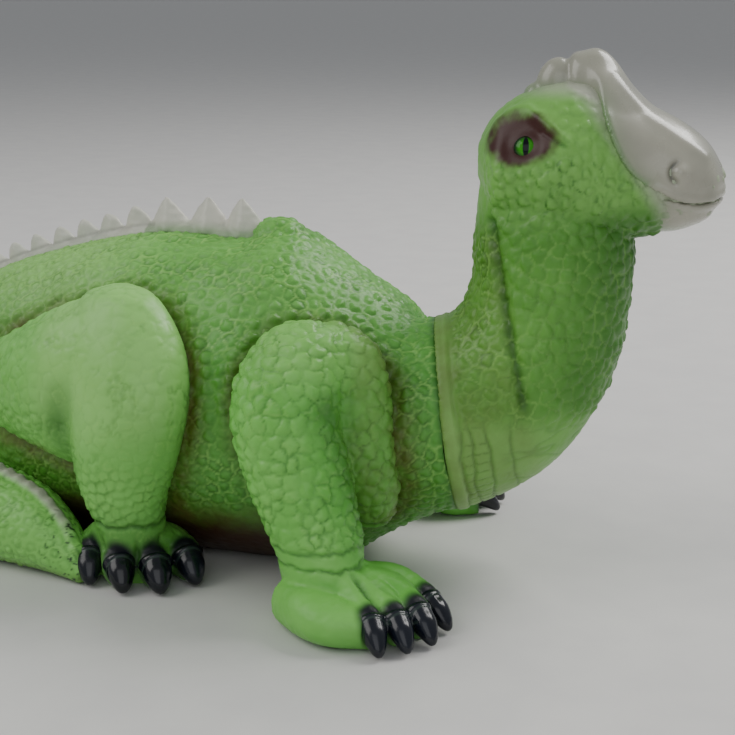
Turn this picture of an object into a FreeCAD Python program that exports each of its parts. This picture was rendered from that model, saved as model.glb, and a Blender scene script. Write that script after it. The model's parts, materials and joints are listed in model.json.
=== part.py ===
"""Stuffed toy dinosaur: a duck-billed dinosaur lying on its belly, about 44 cm long.

Soft-vinyl castings filled with loose polyester fibre. The trunk, four legs and tail are hollow
skins; each leg plugs into the trunk with a tube and a flange, as a doll's limb does. The head and
neck are one hollow casting whose round plug turns in the trunk's neck opening. The cream bill and
crest, the lower bill, the back ridge, the claws and the button eyes are pieces of their own.

Millimetres, +X towards the chest, +Y to the animal's left, +Z up. The model is built round the top
of the shoulders (x = 0, y = 0, z = 0 at the ground) and moved at the end, so that the origin is the
bottom centre of its box.
"""
import FreeCAD
import Part

import math
import os

Vec = FreeCAD.Vector

# Driving dimensions
WALL = 2.2             # thickness of every vinyl skin
GAP = 0.3              # free space between a skin and what it touches
STUFFING_GAP = 0.3     # free space between a skin's inside and the stuffing
RING = Vec(80, 0, 77)  # centre of the neck joint
RING_R = 46.0          # radius of the round joint face
NECK_YAW = 15.0        # degrees that the neck turns to the animal's left
NECK_PITCH = 8.0       # degrees that the joint's axis points up
PLUG_R = 35.0          # outside of the neck's plug
PLUG_FLANGE_R = 40.0
LEG_PLUG_R = 13.0
LEG_FLANGE_R = 17.0
LEG_PLUG_REACH = 12.0  # how far a leg's plug stands inside the trunk's wall
FLANGE_T = 2.4         # thickness of each flange
FAR_LEG_BACK = 21.0    # the left foreleg is this much further back than the right one
BELLY_PLUG = Vec(-60, 0, 0)
BELLY_PLUG_R = 13.0
EYE_R = 6.0
EYE_PLACE = (33.5, 207.0)  # along the head and above the ground
EYE_TILT = 18.0            # degrees that the eyes look up from level
EYE_WASHER_R = 6.5
EYE_WASHER_DEPTH = 4.6     # from the eye's seat to its washer, past the curved wall
EYE_STEM_R = 1.5
EYE_STEM_L = 9.0
SECTION_POINTS = 16

X, Y, Z = Vec(1, 0, 0), Vec(0, 1, 0), Vec(0, 0, 1)


def rotated(v, axis, degrees):
    return FreeCAD.Rotation(axis, degrees).multVec(v)


HEAD_X = rotated(X, Z, NECK_YAW)            # forward along the head
HEAD_Y = rotated(Y, Z, NECK_YAW)            # to the head's left
JOINT_AXIS = rotated(HEAD_X, HEAD_Y, -NECK_PITCH)


def in_head(s, off, z):
    """A point s ahead of the neck joint and off to the head's left, at height z."""
    return Vec(RING.x, RING.y, 0) + HEAD_X * s + HEAD_Y * off + Z * z


# Shapes through closed sections

def section(centre, across, up, width, top, bottom=None):
    """Points round an egg shape: half-width across, its own radius above and below the centre."""
    bottom = top if bottom is None else bottom
    points = []
    for i in range(SECTION_POINTS):
        a = 2 * math.pi * i / SECTION_POINTS - math.pi / 2
        rise = (top if math.sin(a) > 0 else bottom) * math.sin(a)
        points.append(centre + across * (width * math.cos(a)) + up * rise)
    return points + points[:1]


def loft(sections):
    """A closed solid with a smooth side through flat sections and a flat cap at each end."""
    surface = Part.BSplineSurface()
    surface.interpolate(sections)
    first, last, _, _ = surface.bounds()
    caps = [Part.Face(Part.Wire(surface.uIso(u).toShape())) for u in (first, last)]
    shell = Part.Shell([surface.toShape()] + caps)
    shell.sewShape()
    solid = Part.Solid(Part.Shell(shell.Faces))
    if solid.Volume < 0:
        solid.reverse()
    return solid


def above_ground(shape, height=0.0):
    """The part of a shape above a level."""
    big = Part.makeBox(900, 900, 400, Vec(-450, -450, height))
    return shape.common(big)


def cylinder(radius, length, start, axis):
    return Part.makeCylinder(radius, length, start, axis)


def pipe(radius, length, start, axis):
    """A cylinder with a vinyl wall, open at both ends."""
    return cylinder(radius, length, start, axis).cut(cylinder(radius - WALL, length, start, axis))


# Trunk: x, height of the widest level, half-width, top, bottom
TRUNK = [
    (-207, 72, 9, 82, 62),
    (-202, 72, 21, 95, 49),
    (-188, 72, 37, 114, 28),
    (-164, 72, 51, 130, 9),
    (-133, 72, 60, 142, -1.5),
    (-104, 74, 64, 150, -3),
    (-75, 75, 67, 156, -3.5),
    (-40, 76, 68, 157.5, -3.5),
    (-14, 77, 67, 157.5, -3.5),
    (0, 77, 66, 162, -3),
    (20, 76, 63, 156, 0),
    (41, 76, 59, 142.5, 7),
    (56, 76, 53, 131, 17),
]


def trunk_shape(grow=0.0, front=0.0):
    """The trunk's outside, moved out by grow; front moves the flat neck end along the joint's axis."""
    wires = []
    for i, (x, level, width, top, bottom) in enumerate(TRUNK):
        back = grow if i == 0 else 0
        wires.append(section(Vec(x - back, 0, level), Y, Z, width + grow, top - level + grow,
                             level - bottom + grow))
    up = JOINT_AXIS.cross(HEAD_Y)
    for behind in (8.0, 0.0):
        centre = RING - JOINT_AXIS * (behind - front)
        wires.append(section(centre, HEAD_Y, up, RING_R + grow, RING_R + grow))
    return loft(wires)


def trunk_top():
    """The line along the middle of the back."""
    curve = Part.BSplineCurve()
    curve.interpolate([Vec(x, 0, top) for x, _, _, top, _ in TRUNK])
    return curve


# Legs: sections from the knee or elbow down, from the body outwards, and along the foot.
# Each is (centre, half-width along x, half-width along y) for a level section.
FOREARM = [
    (Vec(30, -60, 127), 8, 7),
    (Vec(30, -62, 122), 17, 14),
    (Vec(29, -66, 111), 23, 19),
    (Vec(27, -70, 95), 25, 21),
    (Vec(34, -74, 66), 24.5, 20),
    (Vec(45, -79, 38), 22, 18),
    (Vec(49, -82, 24), 20, 18),
    (Vec(50, -84, 9), 17, 17),
]
UPPER_ARM = [
    (Vec(42, -54, 123), 7, 6),
    (Vec(46, -55, 116), 16, 11),
    (Vec(50, -56, 104), 20, 15),
    (Vec(53, -56, 85), 20, 18),
    (Vec(58, -54, 64), 17, 17),
    (Vec(63, -52, 46), 12, 13),
    (Vec(64, -50, 38), 6, 7),
]
SHIN = [
    (Vec(-58, -62, 138), 9, 6),
    (Vec(-57, -64, 132), 20, 13),
    (Vec(-54, -68, 112), 29, 19),
    (Vec(-51, -72, 90), 29, 21),
    (Vec(-53, -73, 70), 27, 20),
    (Vec(-56, -71, 50), 23, 18),
    (Vec(-56, -69, 36), 18, 16),
    (Vec(-55, -67, 24), 16.5, 15.5),
    (Vec(-55, -66, 10), 14, 14),
]


def level_leg(stations, grow=0.0):
    """A solid through level sections, listed from the top down."""
    wires = []
    for i, (centre, rx, ry) in enumerate(stations):
        lift = grow if i == 0 else (-grow if i == len(stations) - 1 else 0)
        wires.append(section(centre + Z * lift, X, Y, rx + grow, ry + grow))
    return loft(wires)


# The thigh runs back from the knee to the hip: x, y, height, half-width, half-height
THIGH = [
    (-46, -60, 98, 12, 22),
    (-56, -60, 97, 21, 34),
    (-78, -61, 92, 24, 40),
    (-100, -58, 90, 23, 33),
    (-123, -53, 87, 19, 24),
    (-142, -47, 84, 13, 16),
    (-150, -44, 83, 6, 8),
]


def thigh_shape(grow=0.0):
    wires = []
    for i, (x, y, z, width, height) in enumerate(THIGH):
        along = grow if i == 0 else (-grow if i == len(THIGH) - 1 else 0)
        wires.append(section(Vec(x + along, y, z), Y, Z, width + grow, height + grow))
    return loft(wires)


# A foot runs from its heel towards its toes: distance along it, half-width, height of the instep
FORE_FOOT = {"heel": Vec(27, -78, 0), "turn": -17.0,
             "stations": [(0, 9, 9), (6, 17, 17), (22, 22, 24), (42, 24, 22), (58, 24, 16), (63, 22, 13)]}
HIND_FOOT = {"heel": Vec(-63, -49, 0), "turn": -62.0,
             "stations": [(0, 9, 9), (5, 16, 17), (16, 21, 24), (27, 22, 21), (32, 20, 17)]}


def foot_axes(foot):
    ahead = rotated(X, Z, foot["turn"])
    return ahead, rotated(ahead, Z, 90)


def foot_shape(foot, grow=0.0):
    """A foot with a flat sole. Its sections are round above the ground and cut off level with it."""
    ahead, across = foot_axes(foot)
    stations = foot["stations"]
    wires = []
    for i, (along, width, top) in enumerate(stations):
        shift = -grow if i == 0 else (grow if i == len(stations) - 1 else 0)
        low = top * 0.35
        centre = foot["heel"] + ahead * (along + shift) + Z * low
        wires.append(section(centre, across, Z, width + grow, top - low + grow, low + 3))
    return above_ground(loft(wires), -min(grow, 0.0))


# Claws of the right feet: where each tip touches the ground, its direction, and its half-width
FORE_CLAWS = [(Vec(88, -113, 0), -50, 6.0), (Vec(97, -107, 0), -36, 6.2),
              (Vec(104.5, -96, 0), -20, 6.4), (Vec(106.5, -79, 0), -2, 6.2)]
HIND_CLAWS = [(Vec(-66, -87, 0), -104, 6.2), (Vec(-49.5, -91.5, 0), -82, 6.8),
              (Vec(-33, -86, 0), -56, 6.8), (Vec(-22, -70, 0), -26, 6.4)]
CLAW_LENGTH = 19.0
CLAW_STATIONS = [(0.0, 0.85, 0.9), (0.3, 1.0, 1.0), (0.6, 0.92, 0.85), (0.85, 0.66, 0.58), (1.0, 0.3, 0.28)]


def claw_shape(tip, turn, half_width):
    """A blunt nail that comes down to the ground at its tip."""
    ahead = rotated(X, Z, turn)
    root = tip - ahead * CLAW_LENGTH + Z * 9.5
    end = tip + Z * 3.0
    slope = (end - root).normalize()
    across = rotated(ahead, Z, 90)
    up = slope.cross(across)
    wires = []
    for share, wide, thick in CLAW_STATIONS:
        centre = root + (end - root) * share
        wires.append(section(centre, across, up, half_width * wide, half_width * thick))
    return above_ground(loft(wires))


# Tail: centre, half-width, half-height. It curls round the right haunch and lies on the ground.
TAIL = [
    (Vec(-169, 0, 62), 32, 34),
    (Vec(-187, -2, 56), 31, 32.5),
    (Vec(-203, -13, 47), 28, 29),
    (Vec(-210, -37, 36), 26, 26),
    (Vec(-198, -57, 30), 24.5, 24.8),
    (Vec(-174, -65, 26.5), 23.5, 24),
    (Vec(-150, -65, 24.5), 22.8, 23.5),
    (Vec(-129, -64, 22.3), 22, 22.6),
    (Vec(-102, -70, 17.5), 17.5, 18),
    (Vec(-87, -75.5, 12), 12.5, 12.5),
    (Vec(-77.5, -80.5, 7.5), 7.5, 7.8),
    (Vec(-72, -84, 4.2), 3.6, 4.2),
]


def tail_shape(grow=0.0):
    """The tail, with a flat underside where it lies on the ground."""
    path = [c for c, _, _ in TAIL]
    wires = []
    for i, (centre, width, height) in enumerate(TAIL):
        ahead = (path[min(i + 1, len(path) - 1)] - path[max(i - 1, 0)]).normalize()
        across = ahead.cross(Z).normalize()
        shift = -grow if i == 0 else (grow if i == len(TAIL) - 1 else 0)
        radius_w, radius_h = max(width + grow, 0.8), max(height + grow, 0.8)
        wires.append(section(centre + ahead * shift, across, across.cross(ahead), radius_w, radius_h))
    return above_ground(loft(wires), -min(grow, 0.0))


# Neck: back point and front point in the head's plane as (s, z), and half-width
NECK = [
    ((-3.5, 126.5), (22.0, 37.0), 45.5),
    ((1.5, 132.0), (48.0, 53.5), 44.0),
    ((5.0, 138.5), (68.5, 80.5), 41.5),
    ((9.0, 148.0), (79.5, 111.0), 38.0),
    ((11.0, 161.0), (83.5, 144.0), 35.0),
    ((12.5, 176.0), (83.0, 163.0), 33.0),
    ((15.0, 190.0), (74.0, 180.0), 28.0),
    ((24.0, 200.0), (60.0, 195.0), 18.0),
]
# Head: s, widest level, half-width, top, bottom
HEAD = [
    (14, 197, 12, 208, 186),
    (17, 196, 22, 214, 177),
    (25, 195, 30, 222.5, 167),
    (38, 195, 34, 230, 160),
    (52, 195, 35, 234, 157),
    (66, 194, 33, 233, 158),
    (78, 193, 29.5, 227, 162),
    (90, 192, 27.5, 220.5, 164.5),
    (102, 190, 26.5, 214.5, 166.5),
    (112, 189, 23, 207.5, 170),
    (119, 187, 16, 199, 175.5),
    (122.3, 186.5, 8.5, 192.5, 181),
]
# The crest's three lobes: centre as (s, z), half-length, half-width, half-height
LOBES = [((64, 229), 14, 8.5, 18.5), ((46, 231), 9, 7.5, 12), ((34.5, 226.5), 6, 6, 6.5)]
# Side outline of the upper bill and crest: its back edge down the face, then the mouth line
BILL_EDGE = [(24, 252), (26, 231), (38, 228.5), (54, 232), (62, 230), (66.5, 221), (72.5, 205),
             (81, 194), (91, 187.5)]
MOUTH = [(98, 183.5), (110, 181.8), (118, 182.6), (130, 184)]
JAW_EDGE = [(97, 182.5), (90, 176), (88, 166), (90, 150)]


def neck_shape(grow=0.0, back=0.0):
    """The neck and chest; back moves its flat rear face back along the joint's axis."""
    up = JOINT_AXIS.cross(HEAD_Y)
    rear = RING + JOINT_AXIS * (GAP - back)
    wires = [section(rear, HEAD_Y, up, RING_R - 0.5 + grow, RING_R - 0.5 + grow)]
    for i, (rear_point, front_point, width) in enumerate(NECK):
        a = in_head(rear_point[0], 0, rear_point[1])
        b = in_head(front_point[0], 0, front_point[1])
        across_plane = (a - b).normalize()
        lift = grow if i == len(NECK) - 1 else 0
        wires.append(section((a + b) * 0.5 + Z * lift, HEAD_Y, across_plane, width + grow,
                             (a - b).Length / 2 + grow))
    return loft(wires)


def skull_shape(grow=0.0):
    wires = []
    for i, (s, level, width, top, bottom) in enumerate(HEAD):
        along = -grow if i == 0 else (grow if i == len(HEAD) - 1 else 0)
        wires.append(section(in_head(s + along, 0, level), HEAD_Y, Z, width + grow,
                             top - level + grow, level - bottom + grow))
    return loft(wires)


def crest_shape(grow=0.0):
    """The three lobes of the crest, each a squashed ball."""
    shapes = []
    for (s, z), length, width, height in LOBES:
        ball = Part.makeSphere(1.0)
        scale = FreeCAD.Matrix()
        scale.scale(length + grow, width + grow, height + grow)
        ball = ball.transformGeometry(scale)
        ball.rotate(Vec(0, 0, 0), Z, NECK_YAW)
        ball.translate(in_head(s, 0, z))
        shapes.append(ball)
    return shapes[0].fuse(shapes[1:])


def side_cutter(outline):
    """A slab 200 mm wide whose side view is the outline, a list of (s, z)."""
    points = [in_head(s, -100, z) for s, z in outline]
    return Part.Face(Part.makePolygon(points + points[:1])).extrude(HEAD_Y * 200)


def solids_of(shape, least=1.0):
    """A compound of a shape's solids, without slivers."""
    kept = [s for s in shape.Solids if s.Volume > least]
    return kept[0] if len(kept) == 1 else Part.makeCompound(kept)


def largest(shape):
    return max(shape.Solids, key=lambda s: s.Volume)


# Pieces

def build_head():
    """The pieces that turn with the neck."""
    outer = neck_shape().fuse([skull_shape(), crest_shape()])
    inner = neck_shape(-WALL, -WALL).fuse([skull_shape(-WALL), crest_shape(-WALL)])
    bill_box = side_cutter(BILL_EDGE + MOUTH + [(130, 252)])
    jaw_box = side_cutter(JAW_EDGE + [(130, 150)] + MOUTH[::-1])
    shell = outer.cut(inner)

    rear = RING + JOINT_AXIS * GAP
    plug_length = GAP + WALL + 2 * GAP + FLANGE_T
    plug = pipe(PLUG_R, plug_length + WALL, rear + JOINT_AXIS * WALL, -JOINT_AXIS)
    flange = cylinder(PLUG_FLANGE_R, FLANGE_T, rear - JOINT_AXIS * plug_length, JOINT_AXIS)
    flange = flange.cut(cylinder(PLUG_R - WALL, FLANGE_T, rear - JOINT_AXIS * plug_length, JOINT_AXIS))
    mouth_of_plug = cylinder(PLUG_R - WALL, 3 * WALL, rear - JOINT_AXIS * WALL, JOINT_AXIS)

    skin = shell.cut([bill_box, jaw_box]).cut(mouth_of_plug).fuse([plug, flange])
    stuffing = neck_shape(-WALL - STUFFING_GAP, -WALL - STUFFING_GAP).fuse(
        [skull_shape(-WALL - STUFFING_GAP)])
    pieces = {
        "bill_and_crest": solids_of(shell.common(bill_box)),
        "lower_bill": largest(shell.common(jaw_box)),
    }
    for side, sign in (("right", -1), ("left", 1)):
        outward = rotated(HEAD_Y * sign, HEAD_X, sign * EYE_TILT)
        start = in_head(EYE_PLACE[0], sign * 60, EYE_PLACE[1])
        line = Part.makeLine(start, in_head(EYE_PLACE[0], 0, EYE_PLACE[1]))
        seat = surface_point(outer, line, start)
        body = cylinder(EYE_R, 1.6, seat, outward).fuse(
            cylinder(EYE_STEM_R, EYE_STEM_L, seat, -outward))
        ball = Part.makeSphere(EYE_R + 1.2, seat + outward * (1.6 - 3.9))
        dome = ball.common(cylinder(EYE_R - 0.02, 8, seat + outward * 1.6, outward))
        washer_seat = seat - outward * EYE_WASHER_DEPTH
        washer = cylinder(EYE_WASHER_R, 1.5, washer_seat, -outward).cut(
            cylinder(EYE_STEM_R + 0.05, 1.5, washer_seat, -outward))
        stem_hole = cylinder(EYE_STEM_R + 0.2, 8, seat + outward, -outward)
        recess = cylinder(EYE_R + GAP, 8, seat, outward)
        room = cylinder(EYE_WASHER_R + GAP, 8, seat - outward * (EYE_WASHER_DEPTH - GAP), -outward)
        skin = skin.cut([stem_hole, recess, room])
        stuffing = stuffing.cut(cylinder(EYE_WASHER_R + 1.0, 16, seat + outward * 4, -outward))
        pieces[f"eye_{side}"] = body
        pieces[f"eye_lens_{side}"] = dome
        pieces[f"eye_washer_{side}"] = washer
    pieces["head_and_neck_skin"] = largest(skin)
    pieces["head_and_neck_stuffing"] = largest(stuffing)
    return pieces


def surface_point(shape, line, start):
    """Where a line from start first meets a shape."""
    inside = shape.common(line)
    return min((v.Point for v in inside.Vertexes), key=lambda p: (p - start).Length)


LEG_PLUGS = {"foreleg": Vec(34, -40, 84), "hind_leg": Vec(-74, -40, 86)}


def leg_outline(kind, grow=0.0):
    if kind == "foreleg":
        parts = [level_leg(FOREARM, grow), level_leg(UPPER_ARM, grow), foot_shape(FORE_FOOT, grow)]
    else:
        parts = [level_leg(SHIN, grow), thigh_shape(grow), foot_shape(HIND_FOOT, grow)]
    return parts[0].fuse(parts[1:])


def mirrored(shape, back=0.0):
    """The same shape on the left side, moved back."""
    copy = shape.mirror(Vec(0, 0, 0), Y)
    copy.translate(Vec(-back, 0, 0))
    return copy


def build_leg(kind, side, trunk_near, trunk_far, trunk_outside):
    """One leg's skin, stuffing and claws, with the hole and the room that its plug needs."""
    claws = [claw_shape(*c) for c in (FORE_CLAWS if kind == "foreleg" else HIND_CLAWS)]
    outer = leg_outline(kind)
    inner = leg_outline(kind, -WALL)
    soft = leg_outline(kind, -WALL - STUFFING_GAP)
    centre = Vec(LEG_PLUGS[kind])
    inward = Y
    if side == "left":
        back = FAR_LEG_BACK if kind == "foreleg" else 0.0
        claws = [mirrored(c, back) for c in claws]
        outer, inner, soft = mirrored(outer, back), mirrored(inner, back), mirrored(soft, back)
        centre = Vec(centre.x - back, -centre.y, centre.z)
        inward = -Y
    line = Part.makeLine(centre - inward * 60, centre)
    wall = surface_point(trunk_outside, line, centre - inward * 60)
    claws = [c.cut(outer) for c in claws]
    hollow = inner.cut(trunk_far)
    skin = outer.cut(trunk_near).cut(hollow)
    start = wall - inward * (WALL + 2.5)
    length = WALL + 2.5 + LEG_PLUG_REACH
    tube = cylinder(LEG_PLUG_R, length, start, inward)
    flange = cylinder(LEG_FLANGE_R, FLANGE_T, start + inward * (length - FLANGE_T), inward)
    bore = cylinder(LEG_PLUG_R - WALL, length + 10, start - inward * 5, inward)
    tube = tube.fuse(flange).cut(bore)
    skin = largest(skin.cut(bore).fuse(tube))
    stuffing = largest(soft.cut(trunk_far).cut(cylinder(LEG_PLUG_R + GAP, 30, start - inward * 1, inward)))
    hole = cylinder(LEG_PLUG_R + GAP, length + 8, start - inward * 4, inward)
    room = cylinder(LEG_FLANGE_R + 1.0, length + 1.0, start, inward)
    pieces = {f"{kind}_{side}_skin": skin, f"{kind}_{side}_stuffing": stuffing,
              f"{kind}_{side}_claws": solids_of(Part.makeCompound(claws))}
    return pieces, hole, room


def ridge_shape(line, first, last, count, big, small):
    """A low strip with a row of blunt spikes along a curve."""
    strip, spikes = [], []
    for i in range(count):
        share = i / (count - 1)
        u = first + (last - first) * share ** 0.86
        p, t = line.value(u), line.tangent(u)[0]
        across = t.cross(Z).normalize()
        up = across.cross(t).normalize()
        if up.z < 0:
            up = -up
        size = big + (small - big) * share
        strip.append(section(p + up * 0.5, across, up, 5.5 * size, 3.4 * size + 1.0))
        spikes.append(Part.makeCone(6.2 * size, 1.1, 17.0 * size, p, up))
    return loft(strip).fuse(spikes)


def build_trunk():
    outer = above_ground(trunk_shape())
    inner = above_ground(trunk_shape(-WALL, -WALL), WALL)
    soft = above_ground(trunk_shape(-WALL - STUFFING_GAP, -WALL - STUFFING_GAP), WALL + STUFFING_GAP)
    near, far = trunk_shape(GAP, GAP), trunk_shape(WALL + GAP, WALL)
    neck_hole = cylinder(PLUG_R + GAP, 20, RING - JOINT_AXIS * 10, JOINT_AXIS)
    neck_room = cylinder(PLUG_FLANGE_R + 1.5, 13, RING - JOINT_AXIS * 11, JOINT_AXIS)
    belly_hole = cylinder(BELLY_PLUG_R + GAP, 20, BELLY_PLUG - Z * 10, Z)
    belly_room = cylinder(BELLY_PLUG_R + 5, 8, BELLY_PLUG, Z)
    skin = outer.cut(inner).cut([neck_hole, belly_hole])
    stuffing = soft.cut([neck_room, belly_room])
    pieces = {}
    for kind in ("foreleg", "hind_leg"):
        for side in ("right", "left"):
            made, hole, room = build_leg(kind, side, near, far, outer)
            pieces.update(made)
            skin, stuffing = skin.cut(hole), stuffing.cut(room)
    plug = cylinder(BELLY_PLUG_R, WALL + GAP, BELLY_PLUG, Z).fuse(
        cylinder(BELLY_PLUG_R + 3.5, 2.0, BELLY_PLUG + Z * (WALL + GAP), Z))
    pieces["filling_hole_plug"] = plug

    tail = tail_shape()
    tail_in = tail_shape(-WALL)
    tail_skin = tail.cut(near).cut(tail_in.cut(far))
    pieces["tail_skin"] = largest(
        tail_skin.cut([pieces["hind_leg_right_skin"], pieces["hind_leg_right_claws"]]))
    pieces["tail_stuffing"] = largest(tail_shape(-WALL - STUFFING_GAP).cut(far))

    top = trunk_top()
    ridge = ridge_shape(top, top.parameter(Vec(-20, 0, 157)), top.parameter(Vec(-201, 0, 98)),
                        14, 1.0, 0.62)
    pieces["back_ridge"] = largest(ridge.cut(trunk_shape(1.5 * GAP, 1.5 * GAP)))
    pieces["trunk_skin"] = largest(skin)
    pieces["trunk_stuffing"] = largest(stuffing)
    return pieces


def main():
    os.makedirs("parts", exist_ok=True)
    pieces = build_trunk()
    pieces.update(build_head())
    box = FreeCAD.BoundBox()
    for shape in pieces.values():
        box.add(shape.optimalBoundingBox(False))
    centre = Vec(box.Center.x, box.Center.y, 0)
    for name, shape in sorted(pieces.items()):
        shape.translate(-centre)
        shape.exportStep(f"parts/{name}.step")
        print(f"{name:28s} solids {len(shape.Solids)} valid {shape.isValid()} "
              f"volume {shape.Volume / 1000:8.1f} cm3")
    print("moved by", -centre)
    print("box", round(box.XLength, 1), round(box.YLength, 1), round(box.ZLength, 1), "low", box.ZMin)
    print("neck joint at", RING - centre, "axis", JOINT_AXIS)


main()
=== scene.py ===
"""Looks of the soft-vinyl dinosaur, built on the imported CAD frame.

Shapes are worked out in millimetres in the CAD's own design axes, with x = 0 at the top of the
shoulders, and moved into the frame at the end. Each skin starts as a union of lofts, is remeshed to
even quads, smoothed, and then carved scale by scale.
"""

import json
import math

import bpy
import numpy as np
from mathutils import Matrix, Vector, kdtree


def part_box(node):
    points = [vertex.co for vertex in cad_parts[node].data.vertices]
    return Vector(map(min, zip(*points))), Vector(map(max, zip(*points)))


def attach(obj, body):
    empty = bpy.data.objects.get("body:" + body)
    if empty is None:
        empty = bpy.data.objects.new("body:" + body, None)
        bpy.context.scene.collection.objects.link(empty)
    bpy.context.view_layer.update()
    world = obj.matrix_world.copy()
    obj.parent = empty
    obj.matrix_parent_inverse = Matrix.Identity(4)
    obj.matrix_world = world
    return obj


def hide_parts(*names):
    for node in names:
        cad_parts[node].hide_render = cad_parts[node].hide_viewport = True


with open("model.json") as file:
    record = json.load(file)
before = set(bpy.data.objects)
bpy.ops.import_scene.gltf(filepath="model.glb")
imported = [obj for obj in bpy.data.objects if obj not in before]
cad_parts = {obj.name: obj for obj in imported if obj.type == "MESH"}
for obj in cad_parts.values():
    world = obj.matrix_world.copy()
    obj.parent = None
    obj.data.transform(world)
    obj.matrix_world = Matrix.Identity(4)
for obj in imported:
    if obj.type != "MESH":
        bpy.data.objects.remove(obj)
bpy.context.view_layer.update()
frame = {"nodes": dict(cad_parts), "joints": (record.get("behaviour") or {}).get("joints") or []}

MM = 0.001
PLUG_LOW, PLUG_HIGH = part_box("filling_hole_plug")
PLUG_DESIGN_X = -60.0
STUFFED = 0.9       # how full the padded covers are
SHIFT_X = (PLUG_LOW.x + PLUG_HIGH.x) / 2 / MM - PLUG_DESIGN_X
JOINT = frame["joints"][0]
RING = np.array(JOINT["pos_m"]) / MM - [SHIFT_X, 0, 0]
AXIS = np.array(JOINT["axis"])
RING_R = 46.0
CLOSEST = 0.78      # the least distance between scale centres, as a part of their spacing
NEIGHBOURS = [(a, b, c) for a in (-1, 0, 1) for b in (-1, 0, 1) for c in (-1, 0, 1)]
YAW = math.atan2(AXIS[1], AXIS[0])
X, Y, Z = np.eye(3)
HEAD_X = np.array([math.cos(YAW), math.sin(YAW), 0])
HEAD_Y = np.array([-math.sin(YAW), math.cos(YAW), 0])


# ---------------------------------------------------------------- small mathematics

def unit(v):
    v = np.asarray(v, float)
    return v / np.maximum(np.linalg.norm(v, axis=-1, keepdims=True), 1e-9)


def ease(low, high, x):
    t = np.clip((x - low) / (high - low), 0, 1)
    return t * t * (3 - 2 * t)


def bump(x, width):
    return np.exp(-(x / width) ** 2)


def spline(knots, values, at):
    """Natural cubic spline through the values."""
    knots, values = np.asarray(knots, float), np.asarray(values, float)
    n = len(knots)
    h = np.diff(knots)
    a = np.eye(n)
    b = np.zeros_like(values)
    for i in range(1, n - 1):
        a[i, i - 1:i + 2] = h[i - 1], 2 * (h[i - 1] + h[i]), h[i]
        b[i] = 6 * ((values[i + 1] - values[i]) / h[i] - (values[i] - values[i - 1]) / h[i - 1])
    m = np.linalg.solve(a, b)
    k = np.clip(np.searchsorted(knots, at) - 1, 0, n - 2)
    t0, t1 = at - knots[k], knots[k + 1] - at
    shape = (-1,) + (1,) * (values.ndim - 1)
    t0, t1, hk = t0.reshape(shape), t1.reshape(shape), h[k].reshape(shape)
    return ((m[k] * t1 ** 3 + m[k + 1] * t0 ** 3) / (6 * hk)
            + (values[k] / hk - m[k] * hk / 6) * t1 + (values[k + 1] / hk - m[k + 1] * hk / 6) * t0)


def in_head(s, off, z):
    return np.array([RING[0], RING[1], 0]) + HEAD_X * s + HEAD_Y * off + Z * z


def head_coords(v):
    """Distance ahead of the joint, off to the head's left, and height of points."""
    d = v - [RING[0], RING[1], 0]
    return d @ HEAD_X, d @ HEAD_Y, v[:, 2]


def line_distance(v, points):
    """Distance from vertices to a polyline, and how far along it the nearest point is (0 to 1)."""
    points = np.asarray(points, float)
    best = np.full(len(v), 1e9)
    along = np.zeros(len(v))
    lengths = np.linalg.norm(np.diff(points, axis=0), axis=1)
    starts = np.concatenate([[0], np.cumsum(lengths)])
    for i, (a, b) in enumerate(zip(points[:-1], points[1:])):
        t = np.clip((v - a) @ (b - a) / max(lengths[i] ** 2, 1e-9), 0, 1)
        d = np.linalg.norm(v - a - t[:, None] * (b - a), axis=1)
        closer = d < best
        best[closer] = d[closer]
        along[closer] = (starts[i] + t[closer] * lengths[i]) / starts[-1]
    return best, along


# ---------------------------------------------------------------- lofts and meshes

class Ring:
    """One section of a loft: an egg-shaped loop across and up from its centre."""

    def __init__(self, centre, across, up, width, top, bottom=None):
        bottom = top if bottom is None else bottom
        sizes = [width, top, bottom]
        self.row = np.concatenate([np.asarray(centre, float), unit(across), unit(up), sizes])


def loft(rings, around=72, step=1.5, power=2.0):
    """(vertices, faces) of a closed solid through the rings; power above 2 squares the section."""
    rows = np.array([r.row for r in rings])
    knots = np.concatenate([[0], np.cumsum(np.linalg.norm(np.diff(rows[:, :3], axis=0), axis=1))])
    at = np.linspace(0, knots[-1], max(int(knots[-1] / step), 6))
    rows = spline(knots, rows, at)
    a = np.linspace(0, 2 * math.pi, around, endpoint=False)
    ca, sa = np.cos(a), np.sin(a)
    ca = np.sign(ca) * np.abs(ca) ** (2 / power)
    sa = np.sign(sa) * np.abs(sa) ** (2 / power)
    across, up = unit(rows[:, 3:6]), unit(rows[:, 6:9])
    width = np.maximum(rows[:, 9], 0.2)
    rise = np.where(sa > 0, np.maximum(rows[:, 10:11], 0.2), np.maximum(rows[:, 11:12], 0.2)) * sa
    spread = (width[:, None] * ca)[..., None]
    v = rows[:, None, :3] + across[:, None] * spread + up[:, None] * rise[..., None]
    n = len(rows)
    v = np.concatenate([v.reshape(-1, 3), rows[[0, -1], :3]])
    faces = []
    for i in range(n - 1):
        for j in range(around):
            k = (j + 1) % around
            this, after = i * around, (i + 1) * around
            faces.append((this + j, this + k, after + k, after + j))
    for j in range(around):
        k = (j + 1) % around
        faces.append((n * around, k, j))
        faces.append((n * around + 1, (n - 1) * around + j, (n - 1) * around + k))
    return v, faces


def ball(centre, radii, axes=(X, Y, Z), around=40):
    """An ellipsoid, as a loft."""
    rings = []
    for t in np.linspace(-0.985, 0.985, 15):
        c = np.asarray(centre, float) + unit(axes[0]) * radii[0] * t
        r = math.sqrt(1 - t * t)
        rings.append(Ring(c, axes[1], axes[2], radii[1] * r, radii[2] * r))
    return loft(rings, around, 1.2)


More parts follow.
